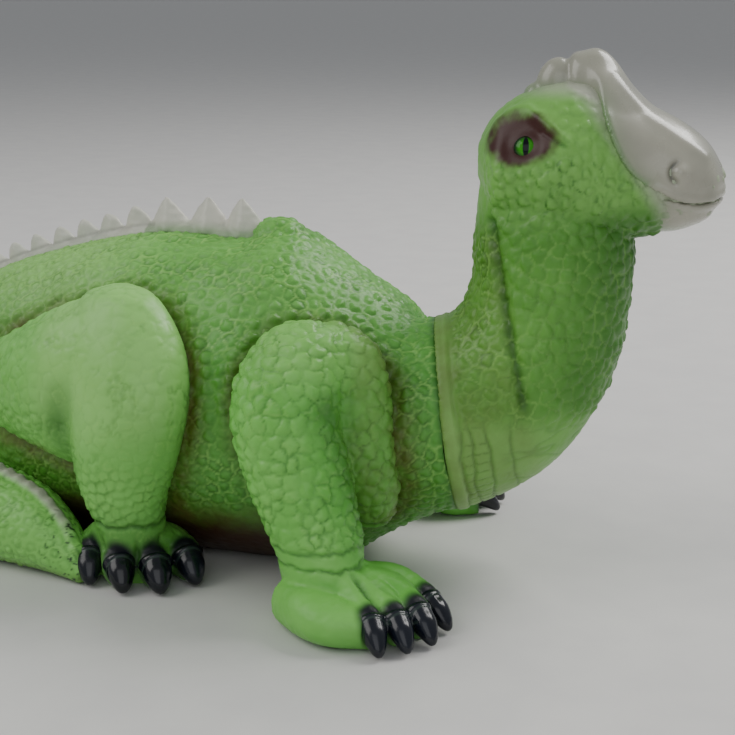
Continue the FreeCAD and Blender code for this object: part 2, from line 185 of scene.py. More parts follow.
def tube(path, power=2.0, level=False, around=64):
    """A loft along (x, y, z, half-width, half-height) stations. Level sections lie flat."""
    path = np.asarray(path, float)
    rings = []
    for i, (x, y, z, width, height) in enumerate(path):
        if level:
            rings.append(Ring((x, y, z), X, Y, width, height))
            continue
        ahead = unit(path[min(i + 1, len(path) - 1), :3] - path[max(i - 1, 0), :3])
        across = unit(np.cross(ahead, Z))
        rings.append(Ring((x, y, z), across, np.cross(across, ahead), width, height))
    return loft(rings, around, power=power)


def linked(name, data):
    obj = bpy.data.objects.new(name, data)
    bpy.context.scene.collection.objects.link(obj)
    return obj


def write_values(mesh, values):
    """Stores each named list as a value per vertex."""
    for key, numbers in values.items():
        attribute = mesh.attributes.new(key, "FLOAT", "POINT")
        attribute.data.foreach_set("value", np.asarray(numbers, np.float32))


def mesh_object(name, parts):
    """A Blender object in millimetres from (vertices, faces) parts."""
    vertices, faces = [], []
    for v, f in parts:
        base = len(vertices)
        vertices.extend(v.tolist())
        faces.extend(tuple(base + i for i in face) for face in f)
    mesh = bpy.data.meshes.new(name)
    mesh.from_pydata(vertices, [], faces)
    return linked(name, mesh)


def evaluated(obj):
    """(vertices, quads or triangles) of an object with its modifiers, which is then removed."""
    graph = bpy.context.evaluated_depsgraph_get()
    result = bpy.data.meshes.new_from_object(obj.evaluated_get(graph))
    v = np.zeros(len(result.vertices) * 3)
    result.vertices.foreach_get("co", v)
    loops = np.zeros(len(result.loops), int)
    result.loops.foreach_get("vertex_index", loops)
    sizes = np.zeros(len(result.polygons), int)
    result.polygons.foreach_get("loop_total", sizes)
    bpy.data.meshes.remove(result)
    bpy.data.objects.remove(obj)
    if (sizes == 4).all():
        return v.reshape(-1, 3), loops.reshape(-1, 4)
    starts = np.cumsum(sizes) - sizes
    return v.reshape(-1, 3), [loops[s:s + n] for s, n in zip(starts, sizes)]


def remeshed(parts, voxel):
    """The union of closed parts as even quads."""
    obj = mesh_object("union", parts)
    modifier = obj.modifiers.new("remesh", "REMESH")
    modifier.mode = "VOXEL"
    modifier.voxel_size = voxel
    return evaluated(obj)


def intersected(parts, cutter):
    """A union of parts cut down to what lies inside the cutter, as one more part."""
    v, quads = remeshed(parts, 1.3)
    obj = mesh_object("whole", [(v, [tuple(q) for q in quads])])
    tool = mesh_object("tool", [cutter])
    modifier = obj.modifiers.new("cut", "BOOLEAN")
    modifier.operation = "INTERSECT"
    modifier.solver = "EXACT"
    modifier.object = tool
    v, faces = evaluated(obj)
    bpy.data.objects.remove(tool)
    return v, [tuple(int(i) for i in f) for f in faces]


def crowded(taken, key, p, limit):
    """Whether a point taken in the cubes around key is nearer to p than the root of limit."""
    for a, b, c in NEIGHBOURS:
        for q in taken.get((key[0] + a, key[1] + b, key[2] + c), ()):
            e = p - q
            if e[0] * e[0] + e[1] * e[1] + e[2] * e[2] < limit:
                return True
    return False


class Surface:
    """Even quads that can be smoothed and carved, with a named value at each vertex for paint."""

    def __init__(self, parts, voxel, smooth=6, where=None):
        self.v, self.quads = remeshed(parts, voxel * (1.0))
        pairs = np.concatenate([self.quads[:, [i, (i + 1) % 4]] for i in range(4)])
        self.pairs = np.unique(np.sort(pairs, axis=1), axis=0)
        self.degree = np.bincount(self.pairs.ravel(), minlength=len(self.v))[:, None]
        self.paint = {}
        self.relax(smooth, 1.0 if where is None else where(self.v))

    def mean(self, values):
        """Average over each vertex's neighbours."""
        a, b = self.pairs.T
        out = np.zeros_like(values)
        for k in range(values.shape[1]):
            out[:, k] = np.bincount(a, values[b, k], len(values))
            out[:, k] += np.bincount(b, values[a, k], len(values))
        return out / self.degree

    def relax(self, rounds, where=1.0):
        """Smoothing that keeps the volume."""
        where = np.broadcast_to(where, len(self.v))[:, None]
        for _ in range(rounds):
            self.v = self.v + 0.6 * where * (self.mean(self.v) - self.v)
            self.v = self.v - 0.62 * where * (self.mean(self.v) - self.v)

    def melt(self, rounds, where):
        """Plain smoothing, which rounds corners off and fills hollows."""
        for _ in range(rounds):
            self.v = self.v + 0.6 * where[:, None] * (self.mean(self.v) - self.v)

    def normals(self):
        a, b, c, d = (self.v[self.quads[:, i]] for i in range(4))
        n = np.cross(c - a, d - b)
        out = np.zeros_like(self.v)
        for i in range(4):
            for k in range(3):
                out[:, k] += np.bincount(self.quads[:, i], n[:, k], len(self.v))
        return unit(out)

    def push(self, height, normals=None):
        normals = self.normals() if normals is None else normals
        self.v = self.v + normals * np.asarray(height)[:, None]

    def cells(self, spacing, seed, rounds=1, warp=0.9):
        """Scatters scale centres about spacing apart and measures every vertex against them."""
        r = np.random.default_rng(seed)
        spacing = np.broadcast_to(spacing, len(self.v))
        size = spacing.max()
        taken = {}
        seeds = []
        for i in r.permutation(len(self.v))[:len(self.v) // 2]:
            p = self.v[i]
            key = tuple((p // size).astype(int))
            if not crowded(taken, key, p, (CLOSEST * spacing[i]) ** 2):
                taken.setdefault(key, []).append(p)
                seeds.append(p)
        seeds = np.array(seeds)
        for _ in range(rounds):
            owner = np.array([hit[1] for hit in nearest_of(seeds, self.v)])
            count = np.maximum(np.bincount(owner, minlength=len(seeds)), 1)[:, None]
            sums = [np.bincount(owner, self.v[:, k], len(seeds)) for k in range(3)]
            moved = np.stack(sums, 1) / count
            seeds = np.where(count > 1, 0.7 * moved + 0.3 * seeds, seeds)
        tree = tree_of(seeds)
        first, second = np.zeros(len(self.v)), np.zeros(len(self.v))
        owner, beside = np.zeros(len(self.v), int), np.zeros(len(self.v), int)
        wander = [noise(self.v, 6.5, seed + 7 * k, 2) for k in (1, 2, 3)]
        warped = self.v + warp * np.stack(wander, 1)
        for i, p in enumerate(warped):
            a, b = tree.find_n(p, 2)
            first[i], second[i], owner[i], beside[i] = a[2], b[2], a[1], b[1]
        apart = np.linalg.norm(seeds[owner] - seeds[beside], axis=1)
        edge = (second ** 2 - first ** 2) / (2 * np.maximum(apart, 0.5))
        return Cells(first, edge, owner, warped - seeds[owner], r.random((len(seeds), 4)))

    def near(self, other):
        """Distance from every vertex to another surface's nearest vertex."""
        return np.array([hit[2] for hit in nearest_of(other.v, self.v)])

    def object(self, name, body, material, nodes, slot, fill=None):
        """The finished Blender piece, in metres in the frame."""
        v = self.v.copy()
        v[:, 2] = np.maximum(v[:, 2], 0.0)
        v[:, 0] += SHIFT_X
        mesh = bpy.data.meshes.new(name)
        mesh.vertices.add(len(v))
        mesh.vertices.foreach_set("co", (v * MM).ravel())
        mesh.loops.add(self.quads.size)
        mesh.loops.foreach_set("vertex_index", self.quads.ravel())
        mesh.polygons.add(len(self.quads))
        mesh.polygons.foreach_set("loop_start", np.arange(len(self.quads)) * 4)
        mesh.update(calc_edges=True)
        mesh.validate()
        write_values(mesh, self.paint)
        mesh.shade_smooth()
        obj = linked(name, mesh)
        mesh.materials.append(material)
        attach(obj, body)
        if nodes:
            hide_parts(*nodes)
        return obj


class Cells:
    """Distance to the nearest scale centre and to the scale's border, and its random values."""

    def __init__(self, first, edge, owner, offset, values):
        self.first, self.edge, self.offset = first, edge, offset
        self.random = values[owner]


def tree_of(points):
    tree = kdtree.KDTree(len(points))
    for i, p in enumerate(points):
        tree.insert(p, i)
    tree.balance()
    return tree


def nearest_of(points, queries):
    tree = tree_of(points)
    return [tree.find(q) for q in queries]


def noise(v, scale, seed, octaves=3):
    """Smooth value noise from random sine waves."""
    r = np.random.default_rng(seed)
    total = np.zeros(len(v))
    for o in range(octaves):
        for _ in range(5):
            k = r.normal(size=3)
            k = k / np.linalg.norm(k) * (2 ** o) * 2 * math.pi / scale * r.uniform(0.6, 1.4)
            total += np.sin(v @ k + r.uniform(0, 6.28)) / (1.7 ** o)
    return total / 4.0


# ---------------------------------------------------------------- materials

def nodes_of(name):
    material = bpy.data.materials.new(name)
    material.use_nodes = True
    tree = material.node_tree
    shader = tree.nodes["Principled BSDF"]
    return material, tree, shader


class Paint:
    """A Principled material whose colour is built up in layers, each laid on by a vertex value."""

    def __init__(self, name, colour, roughness, specular=0.5, coat=0.0):
        self.material, self.tree, self.shader = nodes_of(name)
        self.shader.inputs["Roughness"].default_value = roughness
        self.shader.inputs["Specular IOR Level"].default_value = specular
        self.shader.inputs["Coat Weight"].default_value = coat
        self.shader.inputs["Coat Roughness"].default_value = 0.12
        self.coordinates = self.node("ShaderNodeTexCoord").outputs["Object"]
        self.colour = None
        self.base(colour)
        self.bumps = None

    def node(self, kind, **values):
        node = self.tree.nodes.new(kind)
        for key, value in values.items():
            setattr(node, key, value)
        return node

    def link(self, a, b):
        self.tree.links.new(a, b)

    def noise(self, scale, detail=3.0, roughness=0.55):
        node = self.node("ShaderNodeTexNoise")
        node.inputs["Scale"].default_value = scale
        node.inputs["Detail"].default_value = detail
        node.inputs["Roughness"].default_value = roughness
        self.link(self.coordinates, node.inputs["Vector"])
        return node.outputs["Fac"]

    def ramp(self, source, low, high):
        node = self.node("ShaderNodeMapRange")
        node.inputs["From Min"].default_value = low
        node.inputs["From Max"].default_value = high
        node.clamp = True
        self.link(source, node.inputs["Value"])
        return node.outputs["Result"]

    def times(self, a, b):
        node = self.node("ShaderNodeMath", operation="MULTIPLY")
        self.link(a, node.inputs[0])
        if isinstance(b, float):
            node.inputs[1].default_value = b
        else:
            self.link(b, node.inputs[1])
        return node.outputs[0]

    def value(self, attribute):
        node = self.node("ShaderNodeAttribute")
        node.attribute_name = attribute
        return node.outputs["Fac"]

    def base(self, colours):
        """The ground colour, blotched between two near shades."""
        low, high = colours
        self.colour = self.mix(self.ramp(self.noise(28.0), 0.35, 0.65), low, high)

    def mix(self, factor, a, b, blend="MIX"):
        node = self.node("ShaderNodeMix", data_type="RGBA", blend_type=blend)
        for value, socket in ((a, node.inputs[6]), (b, node.inputs[7])):
            if isinstance(value, tuple):
                socket.default_value = (*value, 1)
            else:
                self.link(value, socket)
        self.link(factor, node.inputs[0])
        return node.outputs[2]

    def layer(self, attribute, colour, strength=1.0, broken=0.0, scale=120.0):
        """Sprays colour where the vertex value is high; broken lets noise eat into it."""
        factor = self.times(self.value(attribute), strength)
        if broken:
            grain = self.ramp(self.noise(scale, 4.0), 0.5 - 0.22 / broken, 0.5 + 0.12 / broken)
            factor = self.times(factor, grain)
        self.colour = self.mix(factor, self.colour, colour)

    def grain(self, scale, strength, distance=0.0004):
        node = self.node("ShaderNodeBump")
        node.inputs["Strength"].default_value = strength
        node.inputs["Distance"].default_value = distance
        self.link(self.noise(scale, 5.0), node.inputs["Height"])
        if self.bumps is not None:
            self.link(self.bumps, node.inputs["Normal"])
        self.bumps = node.outputs["Normal"]

    def wear(self, low, high, scale=60.0):
        """Roughness that wanders between two values."""
        node = self.node("ShaderNodeMapRange")
        node.inputs["From Min"].default_value = 0.3
        node.inputs["From Max"].default_value = 0.7
        node.inputs["To Min"].default_value = low
        node.inputs["To Max"].default_value = high
        self.link(self.noise(scale, 4.0), node.inputs["Value"])
        self.link(node.outputs["Result"], self.shader.inputs["Roughness"])

    def done(self):
        self.link(self.colour, self.shader.inputs["Base Color"])
        if self.bumps is not None:
            self.link(self.bumps, self.shader.inputs["Normal"])
        return self.material


# dark green for painted shade in creases, grooves and shaded hollows
SHADE_GREEN = (0.015, 0.105, 0.006)
BROWN = (0.10, 0.055, 0.015)
# pale green laid on by the 'light' value: painted highlight on upper surfaces, and a paler tone elsewhere
PALE_AND_SHEEN = (0.34, 0.66, 0.19)
# pale green for the raised net between scales, partly a painted highlight on its ridges
PALE_NET_AND_SHEEN = (0.29, 0.60, 0.13)
BLACK = (0.006, 0.008, 0.012)


def vinyl(name, low, high, groove_shade=SHADE_GREEN, net=PALE_NET_AND_SHEEN, rough=(0.34, 0.5)):
    p = Paint(name, (low, high), 0.42, 0.38)
    # painted highlight on upper surfaces, and a paler tone where the value is even
    p.layer("light", PALE_AND_SHEEN, 0.55)
    # painted shade: darker green where creases and hollows fall into shade
    p.layer("painted_shade", SHADE_GREEN, 0.8)
    # painted shade in grooves, folds and recesses, with some of the toy's own darker paint there
    p.layer("groove_shade", groove_shade, 0.9)
    # pale net: the toy's paler ridges, partly a painted highlight
    p.layer("net", net, 0.75)
    p.layer("brown", BROWN, 0.9, broken=0.5, scale=90.0)
    p.layer("maroon", (0.04, 0.007, 0.004), 1.0)
    p.layer("cream", (0.40, 0.41, 0.33), 0.95)
    p.layer("black", BLACK, 1.0)
    p.grain(900.0, 0.10)
    p.grain(220.0, 0.12)
    p.wear(*rough)
    return p.done()


# ---------------------------------------------------------------- shapes, in design millimetres

# Trunk: x, height of the widest level, half-width, top, bottom
TRUNK = [
    (-207, 72, 9, 82, 62), (-202, 72, 21, 95, 49), (-188, 72, 37, 114, 28), (-164, 72, 51, 130, 9),
    (-133, 72, 60, 142, -1.5), (-104, 74, 64, 150, -3), (-75, 75, 67, 156, -3.5),
    (-40, 76, 68, 157.5, -3.5), (-14, 77, 67, 158, -3.5), (0, 77, 66, 161, -3),
    (20, 76, 63, 151.5, 0), (41, 76, 59, 138, 7), (56, 76, 53, 128, 17),
]
TRUNK_X = [row[0] for row in TRUNK]
# Legs of the right side, sections from the top down: x, y, height, half-widths along x and y
FOREARM = [
    (31, -58, 129, 4, 4), (31, -59, 127, 11, 9), (31, -61, 122, 18, 15), (29, -66, 111, 23, 19),
    (27, -70, 95, 24.5, 21), (33, -74, 66, 24, 20), (43, -79, 40, 21, 18), (48, -82, 26, 19.5, 18),
    (50, -84, 9, 17, 17),
]
UPPER_ARM = [
    (40, -50, 127, 5, 5), (43, -51, 123, 13, 9), (46, -52, 114, 18, 12), (48, -52, 101, 19.5, 14.5),
    (50, -52, 85, 19, 15.5), (53, -50, 64, 17, 15), (56, -47, 46, 14, 12), (57, -44, 34, 8, 8),
]
SHIN = [
    (-60, -58, 140, 5, 5), (-60, -60, 138, 13, 9), (-59, -62, 133, 20, 13), (-55, -67, 114, 29, 19),
    (-51, -72, 90, 29, 21), (-53, -73, 70, 27, 20), (-56, -71, 50, 23, 18),
    (-56, -69, 36, 18.5, 16.5),
    (-55, -67, 24, 16.5, 15.5), (-55, -66, 10, 14, 14),
]
THIGH = [
    (-40, -58, 100, 8, 18), (-56, -60, 98, 21, 35), (-78, -61, 93, 24.5, 40.5),
    (-100, -58, 90, 24, 34),
    (-123, -53, 87, 20, 25), (-142, -46, 84, 14, 17), (-155, -38, 82, 6, 8),
]
FORE_FOOT = {
    "heel": (27, -78), "turn": -17.0, "claw_length": 16.5,
    "outer": [(36, -91, 12, 10, 11), (46, -98, 12, 12, 11), (62, -105, 10.5, 12.5, 10)],
    "stations": [(3, 9, 12), (8, 16, 20), (22, 21, 26), (38, 20, 20), (48, 16, 12)],
    "claws": [((87, -115.5), -54, 5.9), ((97, -107.5), -48, 5.8), ((104.5, -96), -41, 6.0),
              ((106.5, -79), -28, 5.8)],
    "wrist": (52, -83, 30),
}
HIND_FOOT = {
    "heel": (-63, -49), "turn": -62.0, "claw_length": 15.0, "outer": [],
    "stations": [(0, 9, 9), (5, 16, 17), (15, 19, 24), (23, 17, 18), (28, 14, 11)],
    "claws": [((-67, -87.4), -62, 6.6), ((-47.3, -90.7), -54, 7.0), ((-30.8, -85.2), -52, 7.3),
              ((-20, -69.5), -42, 7.2)],
    "wrist": (-55, -70, 30),
}
TAIL = [
    (-160, 3, 70, 30, 32), (-169, 0, 62, 32, 34), (-187, -2, 56, 31, 32.5), (-203, -13, 47, 28, 29),
    (-210, -37, 36, 26, 26), (-198, -57, 30, 24.5, 24.8), (-174, -65, 26.5, 23.5, 24),
    (-150, -65, 24.5, 22.8, 23.5), (-129, -64, 22.3, 22, 22.6), (-102, -70, 17.5, 17.5, 18),
    (-87, -75.5, 12, 12.5, 12.5), (-77.5, -80.5, 7.5, 7.5, 7.8), (-72, -84, 4.2, 3.6, 4.2),
]
# Neck: back point, front point (ahead of the joint, height) and half-width
NECK = [
    ((-2.0, 123.5), (22.0, 37.0), 45.5), ((4.5, 128.0), (48.0, 53.5), 44.0),
    ((8.5, 136.0), (68.5, 80.5), 41.5), ((11.0, 147.0), (79.5, 111.0), 38.0),
    ((11.0, 161.0), (83.5, 144.0), 35.0), ((12.5, 176.0), (83.0, 163.0), 33.0),
    ((15.0, 190.0), (74.0, 180.0), 28.0), ((24.0, 200.0), (60.0, 195.0), 18.0),
]
# Head: distance ahead, widest level, half-width, top, bottom
HEAD = [
    (12.5, 197, 7, 204, 190), (14, 197, 12, 208, 186), (17, 196, 22, 214, 177),
    (25, 195, 30, 222.5, 167),
    (38, 195, 34, 230, 160), (52, 195, 35, 234, 157), (66, 194, 33, 233, 158),
    (78, 193, 29.5, 227, 162),
    (90, 192, 27.5, 220.5, 164.5), (102, 190, 26.5, 214.5, 166.5), (112, 189, 23, 207.5, 170),
    (119, 187, 16, 199, 175.5), (122.3, 186.5, 8.5, 192.5, 181),
]
BILL = [(58, 262), (61.5, 238), (66.5, 222), (73, 205), (81, 194), (91, 187.5), (98, 184),
        (110, 182),
        (118, 182.8), (134, 185), (134, 262)]
JAW = [(134, 183.6), (118, 181.6), (110, 180.7), (98, 182.6), (89, 185.5), (84, 176),
       (84, 140), (134, 140)]
EYE = (33.5, 207.0)
EYE_TILT = 18.0
# Spikes of the back ridge: x, height above the back, half-length of the foot
SPIKES = [(-23, 18, 9.5), (-42, 17, 9.5), (-63, 16, 9), (-80, 13, 7.5), (-95, 12, 7),
          (-109, 11.5, 6.6),
          (-123, 11, 6.4), (-137, 10.5, 6.2), (-150, 10, 6), (-162, 9.5, 5.7), (-173, 9, 5.3),
          (-183, 8, 5), (-192, 7, 4.4), (-199, 6, 4)]
FAR_BACK = 21.0


def trunk_top(x):
    return spline(TRUNK_X, [row[3] for row in TRUNK], np.atleast_1d(np.asarray(x, float)))


def trunk_parts():
    rings = [Ring((x, 0, level), Y, Z, width, top - level, level - bottom)
             for x, level, width, top, bottom in TRUNK]
    up = np.cross(AXIS, HEAD_Y)
    rings += [Ring(RING - AXIS * d, HEAD_Y, up, RING_R, RING_R) for d in (8.0, 0.0)]
    knob = ball((-5, 0, 156.0), (14, 12, 10))
    return [loft(rings, 110), knob]


def foot_frame(foot):
    a = math.radians(foot["turn"])
    ahead = np.array([math.cos(a), math.sin(a), 0])
    return ahead, np.array([-ahead[1], ahead[0], 0])


def claw_line(foot, claw):
    """Root and tip of a claw's centre line, its direction and its half-width."""
    (x, y), turn, half = claw
    ahead = np.array([math.cos(math.radians(turn)), math.sin(math.radians(turn)), 0])
    tip = np.array([x, y, 2.6])
    root = np.array([x, y, 12.0]) - ahead * foot["claw_length"]
    return root, tip, ahead, half


def foot_parts(foot):
    ahead, across = foot_frame(foot)
    heel = np.array([*foot["heel"], 0])
    rings = []
    for along, width, top in foot["stations"]:
        low = top * 0.35
        rings.append(Ring(heel + ahead * along + Z * low, across, Z, width, top - low, low + 2))
    parts = [loft(rings, 64, 1.2)]
    wrist = np.array(foot["wrist"], float)
    for claw in foot["claws"]:
        root, _, toward, half = claw_line(foot, claw)
        start = wrist * [1, 1, 0] + Z * 20 + toward * 2
        knuckle = root - toward * 9 + Z * 3.0
        stops = [(start, 1.0, 9.0), (0.45 * start + 0.55 * knuckle + Z * 2, 1.3, 8.6),
                 (knuckle, 1.2, 7.6),
                 (root - toward * 1.5 + Z * 0.6, 0.9, 7.0),
                 (root + toward * 3.5 - Z * 1.2, 0.3, 5.6),
                 (root + toward * 5.0 - Z * 2.0, -1.6, 3.6)]
        parts.append(fleshy([(c, half + more, top) for c, more, top in stops]))
    if foot["outer"]:
        root = claw_line(foot, foot["claws"][0])[0]
        stops = [(np.array([x, y, z]), half, top) for x, y, z, half, top in foot["outer"]]
        parts.append(fleshy(stops + [(root - Z * 2 - Y * 1.5, 7.8, 7.4)]))
    return parts


def fleshy(stops):
    """A roll of flesh down to the ground, along (centre, half-width, height above centre)."""
    rings = []
    for i, (centre, half, top) in enumerate(stops):
        ahead = unit((stops[min(i + 1, len(stops) - 1)][0] - stops[max(i - 1, 0)][0]) * [1, 1, 0])
        across = np.array([-ahead[1], ahead[0], 0])
        rings.append(Ring(centre, across, Z, half, top, centre[2] - 0.2))
    return loft(rings, 48, 1.2, 2.1)


def leg_parts(kind):
    if kind == "foreleg":
        shoulder = ball((39, -60, 106), (17, 14, 19))
        arm = [tube(FOREARM, level=True), tube(UPPER_ARM, level=True), shoulder]
        return arm + foot_parts(FORE_FOOT)
    thigh = loft([Ring((x, y, z), Y, Z, w, h) for x, y, z, w, h in THIGH], 80)
    return [tube(SHIN, level=True), thigh] + foot_parts(HIND_FOOT)


def neck_parts():
    up = np.cross(AXIS, HEAD_Y)
    rings = [Ring(RING + AXIS * d, HEAD_Y, up, RING_R - 0.4, RING_R - 0.4) for d in (0.3, 2.6)]
    for back, front, width in NECK:
        a, b = in_head(back[0], 0, back[1]), in_head(front[0], 0, front[1])
        rings.append(Ring((a + b) / 2, HEAD_Y, a - b, width, np.linalg.norm(a - b) / 2))
    return [loft(rings, 100)]


def skull_part(grow=0.0, power=2.0):
    rings = [Ring(in_head(s, 0, level), HEAD_Y, Z, width + grow, top - level + grow,
                  level - bottom + grow) for s, level, width, top, bottom in HEAD]
    return loft(rings, 90, power=power)


def prism(outline):
    """A slab across the head with this side view."""
    v = np.array([in_head(s, off, z) for off in (-80, 80) for s, z in outline])
    n = len(outline)
    faces = [tuple(range(n)), tuple(range(2 * n - 1, n - 1, -1))]
    faces += [(i, n + i, n + (i + 1) % n, (i + 1) % n) for i in range(n)]
    return v, [f[::-1] for f in faces]


def rounded(outline, hard):
    """The outline with smooth curves between its hard corners."""
    points = []
    pts = np.array(outline, float)
    for a, b in zip(hard[:-1], hard[1:]):
        run = pts[a:b + 1]
        if len(run) > 2:
            knots = np.concatenate([[0], np.cumsum(np.linalg.norm(np.diff(run, axis=0), axis=1))])
            run = spline(knots, run, np.linspace(0, knots[-1], 30))
        points.extend(run[:-1].tolist())
    return points


# ---------------------------------------------------------------- carving

def pebbled(surface, cells, dome=0.9, net=0.35, radius=3.1):
    """Rounded domes that nearly fill their cells, in shallow rings inside a thin raised net."""
    r = radius * (0.8 + 0.4 * cells.random[:, 0])
    lift = dome * (0.3 + 0.8 * cells.random[:, 1])
    worn = 0.3 + 0.7 * ease(-0.5, 0.6, noise(surface.v, 24, 3))
    inward = np.minimum(cells.edge - 0.75, r - cells.first)
    height = lift * (1 - np.exp(-(np.maximum(inward, 0) / 1.1) ** 1.5))
    height = height - 0.35 * bump(inward, 0.6) + net * bump(cells.edge, 0.42) * worn
    # pale paint on the raised net, partly a painted highlight along its ridges
    surface.paint["net"] = 0.8 * bump(cells.edge, 0.42) * worn
    # darker ring round each dome: painted shade in the recess, partly the toy's own darker paint
    surface.paint["groove_shade"] = bump(inward, 0.6) * (0.15 + 0.6 * cells.random[:, 2]) * worn
    return height


def plated(surface, cells, rise=0.7, width=1.0, crown=0.6):
    """Soft bulging plates between wandering grooves darkened by painted shade, some of them worn away; a pale line
    beside each groove is a painted highlight.
    """
    worn = ease(-0.7, 0.5, noise(surface.v, 12, 4))
    fall = 1 - np.exp(-(np.maximum(cells.edge, 0) / width) ** 1.4)
    height = rise * fall * (0.5 + 0.7 * cells.random[:, 1]) * (0.4 + 0.6 * worn)
    height += crown * np.clip(1 - (cells.first / 4.2) ** 2, 0, 1) * (0.3 + cells.random[:, 3])
    # painted shade in the grooves between plates
    surface.paint["groove_shade"] = (0.7 * bump(cells.edge, 0.6) * (0.2 + 0.65 * worn)
                               * (0.3 + 0.8 * cells.random[:, 2]))
    # a pale line just inside each groove: a painted highlight on the plate's edge, partly paler paint
    surface.paint["net"] = 0.5 * bump(cells.edge - 1.1, 0.5) * worn * cells.random[:, 0]
    return height


def overlapping(cells, toward, rise=1.0, reach=4.0):
    """Tilts every scale so that its edge on the toward side stands proud."""
    lean = (cells.offset @ unit(toward)) / reach
    return rise * np.clip(lean, -1, 1) * ease(0.0, 0.9, cells.edge)


PAINTS = ("light", "painted_shade", "groove_shade", "net", "brown", "maroon", "cream", "black")


def blank(surface):
    """Gives the surface a zero for every paint, and hands the paints over."""
    for name in PAINTS:
        surface.paint[name] = np.zeros(len(surface.v))
    return surface.paint


def mark(paint, key, values):
    """Deepens one paint where the new values are higher."""
    paint[key] = np.maximum(paint[key], values)


def toe_marks(surface, foot):
    """Depth of the grooves between the toes, and the spray that blackens the toes' ends."""
    roots = [claw_line(foot, c) for c in foot["claws"]]
    wrist = np.array(foot["wrist"], float)
    depth = np.zeros(len(surface.v))
    for a, b in zip(roots[:-1], roots[1:]):
        end = (a[0] + b[0]) / 2 + (a[2] + b[2]) * 1.5
        top = wrist * [1, 1, 0] + unit((end - wrist) * [1, 1, 0]) * 12 + Z * 28
        middle = 0.5 * (top + end) + Z * 2
        d, along = line_distance(surface.v, [top, middle, end + Z * 3, end - Z * 8])
        depth = np.maximum(depth, bump(d, 1.3) * ease(0, 0.2, along))
    black = np.zeros(len(surface.v))
    for root, _, toward, half in roots:
        d = np.linalg.norm((surface.v - root - toward * 3.0) * [1, 1, 0.7], axis=1)
        black = np.maximum(black, 1 - ease(half - 1.0, half + 3.5, d))
    return depth, black


def foreleg(seed):
    surface = Surface(leg_parts("foreleg"), 1.0, 5)
    paint = blank(surface)
    x, y, z = surface.v.T
    cells = surface.cells(6.9 - 1.2 * ease(70, 40, z), seed, warp=1.3)
    arm = ease(31, 40, z)
    height = plated(surface, cells, 1.0, 1.0, 0.9) * arm
    paint["groove_shade"] *= arm
    paint["net"] *= arm
    wander = noise(surface.v, 14, seed)
    for level, depth in ((36.5, 0.7), (29.5, 0.9)):
        band = bump(z - level - 1.2 * wander, 0.9) * ease(90, 84, x) * (x < 75)
        height -= depth * band
        # painted shade in the bands round the ankle
        mark(paint, "groove_shade", 0.7 * band)
    toes, black = toe_marks(surface, FORE_FOOT)
    height -= 2.2 * toes + 0.3 * (1 - arm) * np.abs(noise(surface.v, 9, seed + 1))
    # painted shade in the grooves between the toes
    mark(paint, "groove_shade", 0.85 * toes)
    paint["black"] = black
    elbow = [(50, -78, 96), (55, -76, 82), (62, -74, 62), (66, -70, 44)]
    crease, _ = line_distance(surface.v, elbow)
    # painted shade along the elbow crease
    paint["painted_shade"] = 0.8 * bump(crease, 9)
    # painted highlight on the top of the arm and on its outer side
    paint["light"] = 0.7 * ease(95, 125, z) + 0.3 * ease(-85, -95, y)
    lobe = ease(48, 60, x) * ease(-76, -66, y) * arm
    paint["brown"] = np.clip((0.5 * ease(-58, -46, y) + 0.45 * lobe) * arm, 0, 1)
    surface.push(height)
    return surface


def hind_leg(seed):
    surface = Surface(leg_parts("hind_leg"), 1.0, 6)
    paint = blank(surface)
    x, y, z = surface.v.T
    cells = surface.cells(5.2 + 2.2 * ease(50, 90, z), seed)
    rear = ease(-85, -105, x)
    ankle = ease(66, 50, z) * ease(30, 36, z)
    calm = 0.30 + 0.25 * ease(-0.2, 0.5, noise(surface.v, 40, seed))
    height = plated(surface, cells, 0.7, 0.8, 0.3) * calm
    height = height * (1 - ankle) + ankle * overlapping(cells, (0.4, -0.2, -1), 0.8, 3.0)
    height += rear * 0.5 * np.sqrt(np.clip(1 - (cells.first / 2.2) ** 2, 0, 1))
    height *= ease(27, 34, z)
    paint["groove_shade"] *= (0.25 + 0.6 * ankle + 0.3 * rear) * ease(27, 34, z)
    wrinkle = bump(noise(surface.v * [1, 1, 0.6], 13, seed + 2), 0.16)
    wrinkle *= (1 - ankle) * ease(-0.2, 0.5, noise(surface.v, 30, seed + 5))
    height -= 0.5 * wrinkle
    # painted shade in the fine wrinkles
    mark(paint, "groove_shade", 0.28 * wrinkle * ease(27, 34, z))
    level = 31.0 + 1.5 * noise(surface.v, 20, seed + 3)
    band = bump(z - level, 1.3)
    height -= 1.2 * band
    # painted shade in the band round the ankle
    mark(paint, "groove_shade", 0.9 * band)
    toes, black = toe_marks(surface, HIND_FOOT)
    height -= 1.8 * toes
    # painted shade in the grooves between the toes
    mark(paint, "groove_shade", 0.9 * toes)
    paint["black"] = black
    crease, _ = line_distance(surface.v, [(-79, -80, 92), (-83, -84, 70), (-80, -80, 50)])
    height -= 1.8 * bump(crease, 4)
    # painted shade along the knee crease and low on the leg above the foot
    paint["painted_shade"] = 0.75 * bump(crease, 8) + 0.5 * ease(44, 26, z) * ease(12, 20, z)
    # painted sheen on the upper thigh, and a paler tone over the whole leg
    paint["light"] = 0.7 * (1 - rear) * ease(60, 95, z) + 0.4
    inner = 0.6 * ease(-58, -48, y)
    paint["brown"] = np.maximum(inner, 0.9 * rear * ease(66, 60, z))
    surface.push(height)
    return surface


def trunk():
    surface = Surface(trunk_parts(), 1.05, 5, lambda v: ease(1.5, 5.0, (RING - v) @ AXIS))
    blank(surface)
    return surface


